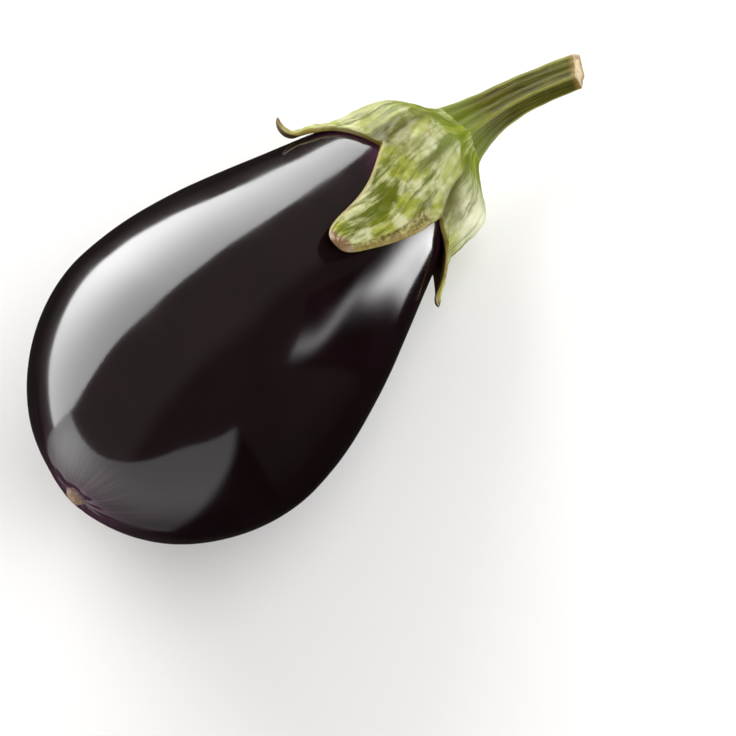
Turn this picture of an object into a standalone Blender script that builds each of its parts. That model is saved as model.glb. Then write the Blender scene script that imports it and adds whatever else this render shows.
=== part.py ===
"""A whole eggplant, picked with its stem, lying on its side on the small flat spot that its belly rests on.

Frame: metres, +Z up. +X runs from the blossom end towards the stem end, and the origin is the middle of the flat
spot. The fruit, the calyx and the stem are modelled upright about the fruit's own axis (blossom end at 0, stem end
at +Z), and an empty lays that axis down. In that upright frame +X becomes the underside and +Y stays +Y.
"""

import math
from bisect import bisect_right

import bmesh
import bpy
from mathutils import Vector
from mathutils.geometry import interpolate_bezier

# Fruit
FRUIT_LENGTH = 0.144
FRUIT_RADIUS = 0.043
WIDEST_AT = 0.045  # height of the widest ring above the blossom end
NECK_RADIUS = 0.020
NECK_AT = 0.130
NECK_TAPER = 0.30  # radius lost per length, where the neck starts to close
# Lengths of the profile's Bezier handles, as shares of what each one spans
SHOULDER_WIDTH = 0.50
SHOULDER_DROP = 0.55
NECK_HANDLE = 0.45
BELLY_HANDLE = 0.32
BASE_HANDLE = 0.41
BASE_WIDTH = 0.63
SHOULDER_POINTS, SIDE_POINTS, BASE_POINTS = 12, 18, 16
FLAT_DEPTH = 0.0018  # how far the belly is flattened where the fruit rests
AXIS_DROP = math.radians(11)  # how far the stem end droops when the fruit lies down

# Calyx
GAP = 0.0004  # between pieces that touch
CROWN_THICKNESS = 0.0036
CROWN_LEAN = 0.0018  # how much thicker the crown is on the -Y side, and thinner on the other
LOBE_THICKNESS = 0.0016
CROWN_SHARE = 0.625  # share of the way to the edge at which the crown has thinned down to the lobes
RIM_SHARE = 0.10  # share of the way over which the edge closes, to half the lobe's thickness
CALYX_ROWS = 26  # rows of the ball that becomes the calyx, outside and lining together
SCAR_ROWS = 3  # rows of the outside that lie under the stem
SHOULDER_START = 0.30  # share of the way to the edge at which the outside starts to leave the stem
SHOULDER_BLEND = 0.25  # share of the outside over which it goes from the stem's ring to the fruit's shape
INNER_CROWDING = 1.5  # packs the lining's rows towards the top, where the fruit turns over most sharply
SCAR_RADIUS = 0.0084  # where the stem leaves the calyx
SCAR_CENTRE = Vector((0, -0.0038, FRUIT_LENGTH + 0.0034))
VALLEY_HEIGHT = 0.118  # where two lobes part
VALLEY_HALF_WIDTH = math.radians(36)
LOBE_SIDE_CURVE = 0.75  # 1 gives straight sides, and less gives hollow ones that draw out the tip
# Each lobe: the direction it grows in, round the axis from the underside, and the height of its tip
LOBES = (
    (math.radians(55), 0.106),
    (math.radians(124), 0.106),
    (math.radians(200), 0.079),
    (math.radians(270), 0.103),
    (math.radians(342), 0.105),
)

# Stem
STEM_START = Vector((0, -0.20, 1)).normalized()
STEM_END = SCAR_CENTRE + Vector((-0.0112, -0.0133, 0.0360))
STEM_END_DIRECTION = Vector((-0.58, -0.48, 0.66)).normalized()
STEM_CUT_RADIUS = 0.0043
STEM_FLARE = 0.98  # extra width where the stem meets the calyx, as a share of its width at the cut
STEM_FLARE_REACH = 0.20  # share of the stem's length over which that fades to about a third
STEM_HANDLE = 0.36  # length of the path's Bezier handles, as a share of its span
STEM_POINTS = 22
RIBS = 5
RIB_DEPTH = 0.07

SEGMENTS = 60  # round the axis


def clear_scene():
    for obj in list(bpy.data.objects):
        bpy.data.objects.remove(obj, do_unlink=True)


def collection(name):
    made = bpy.data.collections.new(name)
    bpy.context.scene.collection.children.link(made)
    return made


def material(name, colour, roughness):
    made = bpy.data.materials.new(name)
    made.use_nodes = True
    shader = made.node_tree.nodes["Principled BSDF"]
    shader.inputs["Base Color"].default_value = (*colour, 1)
    shader.inputs["Roughness"].default_value = roughness
    shader.inputs["Metallic"].default_value = 0
    return made


def add_object(name, mesh, look, home, parent=None):
    mesh.materials.append(look)
    made = bpy.data.objects.new(name, mesh)
    made.parent = parent
    home.objects.link(made)
    return made


def fruit_profile():
    """(radius, height) points down the outer side, from the stem end to the blossom end, as three Bezier curves."""
    side_length = NECK_AT - WIDEST_AT
    neck_handle = side_length * NECK_HANDLE
    top_handle = (FRUIT_LENGTH - NECK_AT) * SHOULDER_DROP
    top = (0, FRUIT_LENGTH)
    neck = (NECK_RADIUS, NECK_AT)
    belly = (FRUIT_RADIUS, WIDEST_AT)
    blossom = (0, 0)
    above_neck = (NECK_RADIUS - NECK_TAPER * top_handle, NECK_AT + top_handle)
    below_neck = (NECK_RADIUS + NECK_TAPER * neck_handle, NECK_AT - neck_handle)
    above_belly = (FRUIT_RADIUS, WIDEST_AT + side_length * BELLY_HANDLE)
    below_belly = (FRUIT_RADIUS, WIDEST_AT * (1 - BASE_HANDLE))
    curves = (
        (top, (NECK_RADIUS * SHOULDER_WIDTH, FRUIT_LENGTH), above_neck, neck, SHOULDER_POINTS),
        (neck, below_neck, above_belly, belly, SIDE_POINTS),
        (belly, below_belly, (FRUIT_RADIUS * BASE_WIDTH, 0), blossom, BASE_POINTS),
    )
    points = []
    for start, handle_1, handle_2, end, count in curves:
        ends = [Vector((radius, 0, height)) for radius, height in (start, handle_1, handle_2, end)]
        points += [(point.x, point.z) for point in interpolate_bezier(*ends, count)][bool(points):]
    return points


def resting_place(profile):
    """(height of the blossom end above the table, its distance behind the middle of the flat spot)."""
    drop, reach = math.sin(AXIS_DROP), math.cos(AXIS_DROP)
    # The underside in the resting plane: distance along the table, and depth below the blossom end.
    underside = [(reach * height - drop * radius, drop * height + reach * radius) for radius, height in profile]
    flat_level = max(depth for _, depth in underside) - FLAT_DEPTH
    crossings = []
    for (x0, depth0), (x1, depth1) in zip(underside, underside[1:]):
        if (depth0 > flat_level) != (depth1 > flat_level):
            share = (flat_level - depth0) / (depth1 - depth0)
            crossings.append(x0 + share * (x1 - x0))
    return flat_level, sum(crossings) / len(crossings)


def build_fruit(profile, home, parent):
    mesh = bpy.data.meshes.new("fruit")
    points = [(radius, 0, height) for radius, height in profile]
    edges = [(i, i + 1) for i in range(len(points) - 1)]
    mesh.from_pydata(points, edges, [])
    skin = material("eggplant_skin", (0.018, 0.004, 0.012), 0.14)
    fruit = add_object("fruit", mesh, skin, home, parent)
    turn = fruit.modifiers.new("turn", "SCREW")
    turn.axis = "Z"
    turn.angle = math.tau
    turn.steps = turn.render_steps = SEGMENTS
    turn.use_merge_vertices = True
    turn.merge_threshold = 0.00001
    turn.use_smooth_shade = True
    return fruit


def build_table_cutter(home):
    """A block whose top is the table's surface, which flattens the belly where the fruit rests."""
    length, width, depth = 1.4 * FRUIT_LENGTH, 3 * FRUIT_RADIUS, 0.5 * FRUIT_RADIUS
    bpy.ops.mesh.primitive_cube_add(size=1)
    cutter = bpy.context.object
    cutter.name = "table_cutter"
    cutter.scale = (length, width, depth)
    cutter.location = (0, 0, -depth / 2)
    bpy.ops.object.transform_apply(location=True, rotation=False, scale=True)
    for old_home in list(cutter.users_collection):
        old_home.objects.unlink(cutter)
    home.objects.link(cutter)
    cutter.hide_render = True
    cutter.display_type = "WIRE"
    return cutter


class Meridian:
    """The fruit's profile by distance walked over the surface, from the middle of the stem end."""

    def __init__(self, profile):
        self.profile = profile
        self.walked = [0.0]
        for (r0, z0), (r1, z1) in zip(profile, profile[1:]):
            self.walked.append(self.walked[-1] + math.hypot(r1 - r0, z1 - z0))

    def at(self, distance):
        """(radius, height, outward direction in the plane of the meridian)"""
        i = min(max(bisect_right(self.walked, distance) - 1, 0), len(self.walked) - 2)
        share = (distance - self.walked[i]) / (self.walked[i + 1] - self.walked[i])
        (r0, z0), (r1, z1) = self.profile[i], self.profile[i + 1]
        return r0 + share * (r1 - r0), z0 + share * (z1 - z0), self.normal(i, share)

    def normal(self, i, share):
        """Blends the directions square to the neighbouring runs, so that a shell follows the fruit smoothly."""
        runs = []
        for j in (i - 1, i, i + 1):
            j = min(max(j, 0), len(self.profile) - 2)
            (r0, z0), (r1, z1) = self.profile[j], self.profile[j + 1]
            runs.append(Vector((z0 - z1, r1 - r0)).normalized())
        before, after = runs[0] + runs[1], runs[1] + runs[2]
        normal = before.normalized().lerp(after.normalized(), share).normalized()
        if i == 0 and share < 0.5:
            return Vector((0, 1))
        return normal

    def distance_to(self, height):
        i = next(i for i, (_, z) in enumerate(self.profile) if z < height)
        share = (self.profile[i - 1][1] - height) / (self.profile[i - 1][1] - self.profile[i][1])
        return self.walked[i - 1] + share * (self.walked[i] - self.walked[i - 1])


def lobe_edge(angle):
    """Height of the calyx edge in a direction: a zigzag from the valleys down to each lobe's tip."""
    edge = VALLEY_HEIGHT
    for centre, tip in LOBES:
        off = abs((angle - centre + math.pi) % math.tau - math.pi) / VALLEY_HALF_WIDTH
        edge = min(edge, tip + (VALLEY_HEIGHT - tip) * off**LOBE_SIDE_CURVE)
    return edge


def smooth_step(t):
    t = min(max(t, 0), 1)
    return t * t * (3 - 2 * t)


def build_calyx(profile, home, parent):
    """A ball reshaped into a cap: its lower half lines the fruit, its upper half is the outside, its rim the lobes."""
    meridian = Meridian(profile)
    across = STEM_START.cross(Vector((1, 0, 0))).normalized()
    scar_x, scar_y = across.cross(STEM_START), across
    scar_share = SCAR_ROWS / (CALYX_ROWS / 2)

    def scar_point(angle, radius):
        return SCAR_CENTRE + radius * (math.cos(angle) * scar_x + math.sin(angle) * scar_y)

    def surface_point(angle, share, lift):
        """A point over the fruit, this share of the way from the axis to the calyx edge."""
        radius, height, outward = meridian.at(share * meridian.distance_to(lobe_edge(angle)))
        radius += lift * outward.x
        return Vector((radius * math.cos(angle), radius * math.sin(angle), height + lift * outward.y))

    def place(point):
        angle = math.atan2(point.y, point.x)
        share = math.acos(min(max(point.z, -1), 1)) / (math.pi / 2)
        if share > 1:
            return surface_point(angle, (2 - share) ** INNER_CROWDING, GAP)
        if share <= scar_share:
            return scar_point(angle, SCAR_RADIUS * share / scar_share)
        down = (share - scar_share) / (1 - scar_share)
        crown = CROWN_THICKNESS - CROWN_LEAN * math.sin(angle)
        thickness = crown + (LOBE_THICKNESS - crown) * smooth_step(down / CROWN_SHARE)
        rim = min(1, (1 - down) / RIM_SHARE)
        lift = GAP + thickness * (0.5 + 0.5 * rim)
        outside = surface_point(angle, SHOULDER_START + (1 - SHOULDER_START) * down, lift)
        return scar_point(angle, SCAR_RADIUS).lerp(outside, smooth_step(down / SHOULDER_BLEND))

    shape = bmesh.new()
    bmesh.ops.create_uvsphere(shape, u_segments=SEGMENTS, v_segments=CALYX_ROWS, radius=1)
    for vertex in shape.verts:
        vertex.co = place(vertex.co.copy())
    bmesh.ops.recalc_face_normals(shape, faces=shape.faces)
    mesh = bpy.data.meshes.new("calyx")
    shape.to_mesh(mesh)
    shape.free()
    mesh.shade_smooth()
    mesh.set_sharp_from_angle(angle=math.radians(50))
    return add_object("calyx", mesh, material("calyx_green", (0.36, 0.42, 0.15), 0.45), home, parent)


def ribbed_section(home):
    """The stem's cross-section, drawn at its cut end: a circle with low ribs."""
    section = bpy.data.curves.new("stem_section", "CURVE")
    section.dimensions = "2D"
    outline = section.splines.new("POLY")
    corners = RIBS * 6
    outline.points.add(corners - 1)
    for i, point in enumerate(outline.points):
        angle = math.tau * i / corners
        radius = STEM_CUT_RADIUS * (1 + RIB_DEPTH * math.cos(RIBS * angle))
        point.co = (radius * math.cos(angle), radius * math.sin(angle), 0, 1)
    outline.use_cyclic_u = True
    guide = bpy.data.objects.new("stem_section", section)
    home.objects.link(guide)
    guide.hide_render = True
    guide.display_type = "WIRE"
    return guide


def build_stem(home, guides, parent):
    """The section carried along one bent path, from the calyx to the cut, and widening into the calyx."""
    start = SCAR_CENTRE + GAP * STEM_START
    handle = (STEM_END - start).length * STEM_HANDLE
    ends = (start, start + STEM_START * handle, STEM_END - STEM_END_DIRECTION * handle, STEM_END)
    path = bpy.data.curves.new("stem", "CURVE")
    path.dimensions = "3D"
    path.bevel_mode = "OBJECT"
    path.bevel_object = ribbed_section(guides)
    path.use_fill_caps = True
    path.twist_mode = "MINIMUM"
    spline = path.splines.new("POLY")
    points = interpolate_bezier(*ends, STEM_POINTS)
    spline.points.add(len(points) - 1)
    for i, (point, place) in enumerate(zip(spline.points, points)):
        share = i / (len(points) - 1)
        point.co = (*place, 1)
        point.radius = flare_at(share)
    curve = bpy.data.objects.new("stem_path", path)
    home.objects.link(curve)

    graph = bpy.context.evaluated_depsgraph_get()
    mesh = bpy.data.meshes.new_from_object(curve.evaluated_get(graph))
    mesh.name = "stem"
    bpy.data.objects.remove(curve, do_unlink=True)
    shape = bmesh.new()
    shape.from_mesh(mesh)
    bmesh.ops.remove_doubles(shape, verts=shape.verts, dist=0.00001)
    bmesh.ops.recalc_face_normals(shape, faces=shape.faces)
    shape.to_mesh(mesh)
    shape.free()
    mesh.materials.clear()
    mesh.shade_smooth()
    mesh.set_sharp_from_angle(angle=math.radians(50))
    return add_object("stem", mesh, material("stem_green", (0.24, 0.26, 0.05), 0.5), home, parent)


def flare_at(share):
    """The stem's radius over its radius at the cut, this share of the way from the calyx to the cut."""
    return 1 + STEM_FLARE * math.exp(-share / STEM_FLARE_REACH)


def main():
    clear_scene()
    eggplant = collection("eggplant")
    helpers = collection("eggplant_cutters_and_guides")

    profile = fruit_profile()
    blossom_height, blossom_back = resting_place(profile)
    lie = bpy.data.objects.new("lying_axis", None)
    lie.location = (-blossom_back, 0, blossom_height)
    lie.rotation_euler = (0, math.pi / 2 + AXIS_DROP, 0)
    eggplant.objects.link(lie)

    fruit = build_fruit(profile, eggplant, lie)
    flatten = fruit.modifiers.new("flatten", "BOOLEAN")
    flatten.operation = "DIFFERENCE"
    flatten.object = build_table_cutter(helpers)
    build_calyx(profile, eggplant, lie)
    build_stem(eggplant, helpers, lie)


main()
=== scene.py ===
# %% [markdown]
# # A whole eggplant
#
# The object is one grown thing in three parts: a glossy, near-black fruit, the fleshy green calyx that
# caps its neck, and the ribbed stalk above it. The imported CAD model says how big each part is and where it
# lies. This script makes the surfaces that show: each one is a function of two parameters, worked out for a
# whole grid at once with numpy.

# %% Load the frame
import math

import bmesh
import bpy
import numpy as np
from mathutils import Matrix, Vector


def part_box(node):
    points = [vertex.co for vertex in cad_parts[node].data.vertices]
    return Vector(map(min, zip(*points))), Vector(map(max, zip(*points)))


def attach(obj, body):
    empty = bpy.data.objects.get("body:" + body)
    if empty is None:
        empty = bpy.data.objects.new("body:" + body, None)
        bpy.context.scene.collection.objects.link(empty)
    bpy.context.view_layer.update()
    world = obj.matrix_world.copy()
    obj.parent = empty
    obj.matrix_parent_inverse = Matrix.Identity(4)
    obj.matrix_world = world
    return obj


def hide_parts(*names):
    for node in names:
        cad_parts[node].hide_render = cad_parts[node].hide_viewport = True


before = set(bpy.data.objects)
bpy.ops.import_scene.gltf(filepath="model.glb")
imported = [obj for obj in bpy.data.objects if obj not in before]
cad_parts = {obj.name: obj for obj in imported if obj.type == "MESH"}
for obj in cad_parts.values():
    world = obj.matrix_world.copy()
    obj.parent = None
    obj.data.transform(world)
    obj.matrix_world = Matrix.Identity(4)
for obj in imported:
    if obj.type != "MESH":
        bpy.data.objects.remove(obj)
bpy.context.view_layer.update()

print("CAD nodes:", sorted(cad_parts))

# %% [markdown]
# ## Small helpers
#
# Every surface below needs the same few things: a cubic Bezier curve, a soft step from 0 to 1, and gentle
# irregularity. Real fruit is never exact, so a sum of sine waves in seeded random directions stands for its
# low swellings. It is smooth everywhere and the same on each run.

# %% Curves, steps and swellings
MM = 0.001


def bezier(corners, t):
    """Cubic Bezier curve: the four corners weighted by the terms of ((1 - t) + t) cubed."""
    a, b, c, d = np.asarray(corners, float)
    t = np.asarray(t)[:, None]
    return (1 - t) ** 3 * a + 3 * (1 - t) ** 2 * t * b + 3 * (1 - t) * t**2 * c + t**3 * d


def step(low, high, x):
    """0 below low, 1 above high, and between them 3s^2 - 2s^3, where s is the share of the way."""
    s = np.clip((x - low) / (high - low), 0, 1)
    return s * s * (3 - 2 * s)


def bump(x, width):
    """A bell: 1 at x = 0, and e^-1 at x = width."""
    return np.exp(-((x / width) ** 2))


def unit(vectors):
    """Each vector divided by its own length."""
    return vectors / np.linalg.norm(vectors, axis=-1, keepdims=True)


def swellings(points, wavelength, seed, waves=14):
    """Sum of sine waves in random directions, each near the given wavelength: about from -1 to 1."""
    rng = np.random.default_rng(seed)
    directions = unit(rng.normal(size=(waves, 3)))
    lengths = wavelength * rng.uniform(0.7, 1.5, waves)
    phases = rng.uniform(0, math.tau, waves)
    return np.sin(points @ (directions * math.tau / lengths[:, None]).T + phases).sum(-1) / math.sqrt(waves)


print("a step half way up:", step(0, 1, 0.5))

# %% [markdown]
# ## How the fruit lies
#
# The fruit is easiest to describe upright: a profile turned about the fruit's own axis, from the blossom
# end at 0 to the stem end. Then it is laid down, with its axis falling towards the stem. The profile and
# the tilt repeat the CAD model's, and the place comes from the CAD node's box.

# %% The fruit's profile, and laying it down
FRUIT_LENGTH = 144 * MM
FRUIT_RADIUS = 43 * MM
WIDEST_AT = 45 * MM
NECK_RADIUS = 20 * MM
NECK_AT = 130 * MM
NECK_TAPER = 0.30
AXIS_DROP = math.radians(11)


def fruit_profile():
    """Radius and height down the side, from the stem end to the blossom end, as three Bezier curves."""
    neck_handle = (NECK_AT - WIDEST_AT) * 0.45
    top_handle = (FRUIT_LENGTH - NECK_AT) * 0.55
    top = (0, FRUIT_LENGTH)
    neck = (NECK_RADIUS, NECK_AT)
    belly = (FRUIT_RADIUS, WIDEST_AT)
    blossom = (0, 0)
    shoulder = (
        top,
        (NECK_RADIUS * 0.5, FRUIT_LENGTH),
        (NECK_RADIUS - NECK_TAPER * top_handle, NECK_AT + top_handle),
        neck,
    )
    side = (
        neck,
        (NECK_RADIUS + NECK_TAPER * neck_handle, NECK_AT - neck_handle),
        (FRUIT_RADIUS, WIDEST_AT + 0.32 * (NECK_AT - WIDEST_AT)),
        belly,
    )
    base = (belly, (FRUIT_RADIUS, WIDEST_AT * 0.59), (FRUIT_RADIUS * 0.63, 0), blossom)
    t = np.linspace(0, 1, 400)
    return np.concatenate([bezier(shoulder, t), bezier(side, t)[1:], bezier(base, t)[1:]])


PROFILE = fruit_profile()
WALKED = np.concatenate([[0], np.cumsum(np.linalg.norm(np.diff(PROFILE, axis=0), axis=1))])
WHOLE_WALK = WALKED[-1]
PROFILE_TANGENT = unit(np.gradient(PROFILE, WALKED, axis=0))

DOWN = np.array([-math.sin(AXIS_DROP), 0, -math.cos(AXIS_DROP)])
SIDE = np.array([0, 1, 0])
ALONG = np.array([math.cos(AXIS_DROP), 0, -math.sin(AXIS_DROP)])
lowest, highest = (np.array(corner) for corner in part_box("fruit"))
front_of_blossom = (PROFILE[:, 0] * math.sin(AXIS_DROP) - PROFILE[:, 1] * math.cos(AXIS_DROP)).max()
top_of_blossom = (PROFILE[:, 0] * math.cos(AXIS_DROP) - PROFILE[:, 1] * math.sin(AXIS_DROP)).max()
BLOSSOM_END = np.array([lowest[0] + front_of_blossom, 0, highest[2] - top_of_blossom])


def lay_down(upright):
    """From upright (down side, +Y side, height) to the row frame: each number along its direction there."""
    return BLOSSOM_END + upright @ np.array([DOWN, SIDE, ALONG])


def walk_to(height):
    """Distance walked over the skin from the middle of the stem end down to this height."""
    return np.interp(-height, -PROFILE[:, 1], WALKED)


print("blossom end at", BLOSSOM_END.round(4))
print("over the skin from end to end:", round(WHOLE_WALK / MM, 1), "mm")

# %% [markdown]
# ## Walking over the fruit
#
# Both the skin and the calyx follow the fruit, so one function gives any point over it: a direction round
# the axis, a distance walked down from the stem end, and a lift off the skin. The skin's own relief is in it
# too. The belly is a little out of round, low flutes run down the neck, which is slimmer on one side and
# sinks in under one valley of the calyx, and the blossom end is drawn in around a small corky nub.

# %% The fruit's relief, and points over it
SLIM_SIDE = 2.0  # direction round the axis, in radians, in which the neck is slimmer
HOLLOW_SIDE = 4.08  # and the one in which it sinks in


def apart(angle, direction):
    """Angle from a direction round the axis, brought to within half a turn either way."""
    return np.angle(np.exp(1j * (angle - direction)))


def relief(angle, walk):
    """Height of the real skin over the turned profile: cosines, bells and swellings in mm, added up."""
    radius = np.interp(walk, WALKED, PROFILE[:, 0])
    height = np.interp(walk, WALKED, PROFILE[:, 1])
    spot = np.stack([radius * np.cos(angle), radius * np.sin(angle), height], -1)

    round_off = 0.30 * np.cos(2 * angle + 0.6) + 0.22 * np.cos(3 * angle - 1.0)
    flutes = 0.10 * np.cos(5 * angle + 0.9) * step(78 * MM, 112 * MM, height)
    dents = 0.09 * swellings(spot, 46 * MM, seed=3) + 0.03 * swellings(spot, 17 * MM, seed=4)
    slim_side = -1.7 * bump(apart(angle, SLIM_SIDE), 0.9) * step(113 * MM, 124 * MM, height)
    hollow = -2.0 * bump(apart(angle, HOLLOW_SIDE), 0.30) * bump(height - 131 * MM, 9 * MM)
    away_from_ends = step(0, 12 * MM, radius)

    from_blossom = WHOLE_WALK - walk
    puckers = 0.10 * np.cos(13 * angle + 2 * np.sin(3 * angle)) * bump(from_blossom - 6 * MM, 4 * MM)
    puckers = puckers * step(0, 2 * MM, from_blossom)
    drawn_in = -1.1 * bump(from_blossom, 6.5 * MM)
    nub = 1.5 * (1 - step(1.6 * MM, 3.2 * MM, from_blossom))
    nub = nub + 0.12 * swellings(spot, 1.3 * MM, seed=5) * (1 - step(2.2 * MM, 3.4 * MM, from_blossom))
    all_over = away_from_ends * (round_off + flutes + dents + slim_side + hollow)
    return MM * (all_over + puckers + drawn_in + nub)


def over_fruit(angle, walk, lift):
    """(point, outward direction) in the row frame: on the profile at the walk, off it by relief and lift."""
    radius = np.interp(walk, WALKED, PROFILE[:, 0])
    height = np.interp(walk, WALKED, PROFILE[:, 1])
    tangent_r = np.interp(walk, WALKED, PROFILE_TANGENT[:, 0])
    tangent_h = np.interp(walk, WALKED, PROFILE_TANGENT[:, 1])
    out_r, out_h = -tangent_h, tangent_r
    lift = lift + relief(angle, walk)
    radius, height = radius + lift * out_r, height + lift * out_h
    point = lay_down(np.stack([radius * np.cos(angle), radius * np.sin(angle), height], -1))
    upright_out = np.stack([out_r * np.cos(angle), out_r * np.sin(angle), out_h], -1)
    return point, unit(lay_down(upright_out) - BLOSSOM_END)


sample_angle = np.linspace(0, math.tau, 60)
belly_relief = relief(sample_angle, np.full(60, walk_to(WIDEST_AT))) / MM
print("relief round the belly, mm: from", belly_relief.min().round(2), "to", belly_relief.max().round(2))

# %% [markdown]
# ## From a grid to a mesh
#
# A grid of points becomes a mesh the same way each time: every cell is one quad. Patches that share an edge
# are given exactly the same points there, so merging doubles sews them into one closed skin. Attributes hold
# what a material needs to know about a point, and the UV map is stored on face corners, so it survives the
# sewing.

# %% Grids, patches and pieces
SEWN = 0.0001 * MM  # points nearer to each other than this become one


def grid_quads(rows, columns, start=0):
    """Corner numbers of each cell, for a grid whose points are numbered row by row from start."""
    first = start + np.arange(rows - 1)[:, None] * columns + np.arange(columns - 1)
    return np.stack([first, first + 1, first + columns + 1, first + columns], -1).reshape(-1, 4)


def fill_mesh(mesh, points, quads):
    """Puts points and quads into an empty mesh as whole arrays."""
    mesh.vertices.add(len(points))
    mesh.vertices.foreach_set("co", points.astype(np.float32).ravel())
    mesh.loops.add(quads.size)
    mesh.loops.foreach_set("vertex_index", quads.astype(np.int32).ravel())
    mesh.polygons.add(len(quads))
    mesh.polygons.foreach_set("loop_start", np.arange(0, quads.size, 4, dtype=np.int32))
    mesh.update(calc_edges=True)


def sew(mesh):
    """Merges doubles, drops cells that have no area, turns faces outwards, and counts open edges."""
    shape = bmesh.new()
    shape.from_mesh(mesh)
    bmesh.ops.remove_doubles(shape, verts=shape.verts, dist=SEWN)
    bmesh.ops.dissolve_degenerate(shape, edges=shape.edges, dist=SEWN)
    open_edges = sum(not edge.is_manifold for edge in shape.edges)
    bmesh.ops.recalc_face_normals(shape, faces=shape.faces)
    shape.to_mesh(mesh)
    shape.free()
    return open_edges


def make_piece(name, patches, sharp_angle=60):
    """One mesh from patches, each with its points and uv as grids, and a number or a grid per attribute."""
    points = np.concatenate([patch["points"].reshape(-1, 3) for patch in patches])
    uv = np.concatenate([patch["uv"].reshape(-1, 2) for patch in patches])
    grids = [patch["points"].shape[:2] for patch in patches]
    starts = np.cumsum([0] + [rows * columns for rows, columns in grids])
    quads = np.concatenate(
        [
            grid_quads(*grid, start)[:, :: -1 if patch.get("turned") else 1]
            for patch, grid, start in zip(patches, grids, starts)
        ]
    )

    mesh = bpy.data.meshes.new(name)
    fill_mesh(mesh, points, quads)
    mesh.uv_layers.new(name="flow").data.foreach_set("uv", uv[quads.ravel()].astype(np.float32).ravel())
    for key in sorted({key for patch in patches for key in patch} - {"points", "uv", "turned"}):
        values = [np.broadcast_to(patch.get(key, 0.0), grid).ravel() for patch, grid in zip(patches, grids)]
        marks = mesh.attributes.new(key, "FLOAT", "POINT").data
        marks.foreach_set("value", np.concatenate(values).astype(np.float32))
    open_edges = sew(mesh)
    mesh.shade_smooth()
    mesh.set_sharp_from_angle(angle=math.radians(sharp_angle))
    piece = bpy.data.objects.new(name, mesh)
    bpy.context.scene.collection.objects.link(piece)
    print(f"{name}: {len(mesh.vertices)} points, {len(mesh.polygons)} faces, {open_edges} open edges")
    return piece


print("a grid of 3 by 4 points has", len(grid_quads(3, 4)), "cells")

# %% [markdown]
# ## Where the calyx's lobes lie
#
# The skin's material has to know how far a point is from the calyx, because skin that grew in its shade
# stayed violet. So the five lobes are described before the skin is made, each by a few numbers. Between two
# lobes the sheet is cut in as far as a valley, and from there each lobe narrows to its own tip.

# %% The calyx's five lobes
VALLEY_WALK = walk_to(118.5 * MM)
VALLEYS = np.radians([90, 171, 234, 306, 378])  # directions round the axis where two lobes part
CREASES = (0.7, 0.5, 2.5, 0.9, 0.8)  # mm that the crown is creased above each valley
# Each lobe has a direction in degrees and the height of its tip in mm, and then its own ways:
#   sway: degrees that its tip turns aside;
#   strand, blunt: how much of its width runs on to the tip, and how bluntly it ends;
#   fall: how quickly the rest of its width goes;
#   stand: mm that the tip stands off the skin;
#   curl, from: degrees that the tip rolls up, and the share of the way where that starts;
#   roll: degrees that its two edges roll out;
#   hump, hump_at: mm of swelling on its shoulder, and mm walked from the stem end to its middle;
#   crown, blade: mm of thickness at its shoulder and along its blade.
LOBE_WAYS = ("direction", "tip", "sway", "strand", "blunt", "fall", "stand", "curl", "from", "roll")
LOBE_WAYS += ("hump", "hump_at", "crown", "blade")
LOBES = [
    dict(zip(LOBE_WAYS, ways))
    for ways in (
        (54, 104, 4, 0.50, 0.70, 2, 1.0, 60, 0.70, (0, 15), 0.8, 26, 3.2, 1.4),
        (127, 100.5, -8, 0.20, 0.70, 7, 0.3, 130, 0.52, (0, 0), 0.3, 16, 1.9, 1.0),
        (204, 81.3, -9, 0.72, 0.36, 2.8, 1.2, 30, 0.80, (0, 62), 1.0, 34, 2.6, 1.6),
        (270, 103, 3, 0.40, 0.75, 3, 2.6, 70, 0.80, (40, 0), 2.6, 26, 3.4, 1.3),
        (342, 104, -3, 0.50, 0.70, 2, 0.9, 30, 0.75, (10, 10), 0.8, 26, 3.2, 1.4),
    )
]


def lobe_width(lobe, x):
    """Share of the valley's width that is left at x, the share of the way to the tip: a strand and a base."""
    return lobe["strand"] * (1 - x) ** lobe["blunt"] + (1 - lobe["strand"]) * (1 - x) ** lobe["fall"]


def lobe_sides(number):
    """(middle direction, angle to the valley before it, angle to the valley after it) of a lobe."""
    middle = math.radians(LOBES[number]["direction"])
    before = VALLEYS[number - 1] - (math.tau if number == 0 else 0)
    return middle, middle - before, VALLEYS[number] - middle


def lobe_reach(number):
    """Distance walked from the valleys to a lobe's tip."""
    return walk_to(LOBES[number]["tip"] * MM) - VALLEY_WALK


def calyx_shade(angle, walk):
    """Rough distance from a point on the skin to the nearest calyx edge, in metres, and 0 under the calyx."""
    radius = np.maximum(np.interp(walk, WALKED, PROFILE[:, 0]), 1 * MM)
    valley_radius = np.interp(VALLEY_WALK, WALKED, PROFILE[:, 0])
    nearest = np.full(np.broadcast(angle, walk).shape, 1.0)
    for number, lobe in enumerate(LOBES):
        middle, before, after = lobe_sides(number)
        reach = lobe_reach(number)
        x = (walk - VALLEY_WALK) / reach
        sway = math.radians(lobe["sway"]) * np.clip(x, 0, 1)
        off = apart(angle, middle + sway)
        half = np.where(off > 0, after, before) * valley_radius * lobe_width(lobe, np.clip(x, 0, 1))
        beside = np.maximum(np.abs(off) * radius - half, 0)
        below = np.maximum(x - 1, 0) * reach
        nearest = np.minimum(nearest, np.hypot(beside, below))
    return np.where(walk < VALLEY_WALK, 0, nearest)


for number in range(len(LOBES)):
    print("lobe", number, "is", round(lobe_reach(number) / MM), "mm long")

# %% [markdown]
# ## The skin
#
# The skin is a turned surface with the relief on it. Rows crowd towards the two ends, where it curves most.
# The belly rests on the table on a small flat spot, so heights near zero are eased up to it instead of
# passing through. The first and the last row are drawn together to one point each, which closes the poles.

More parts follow.
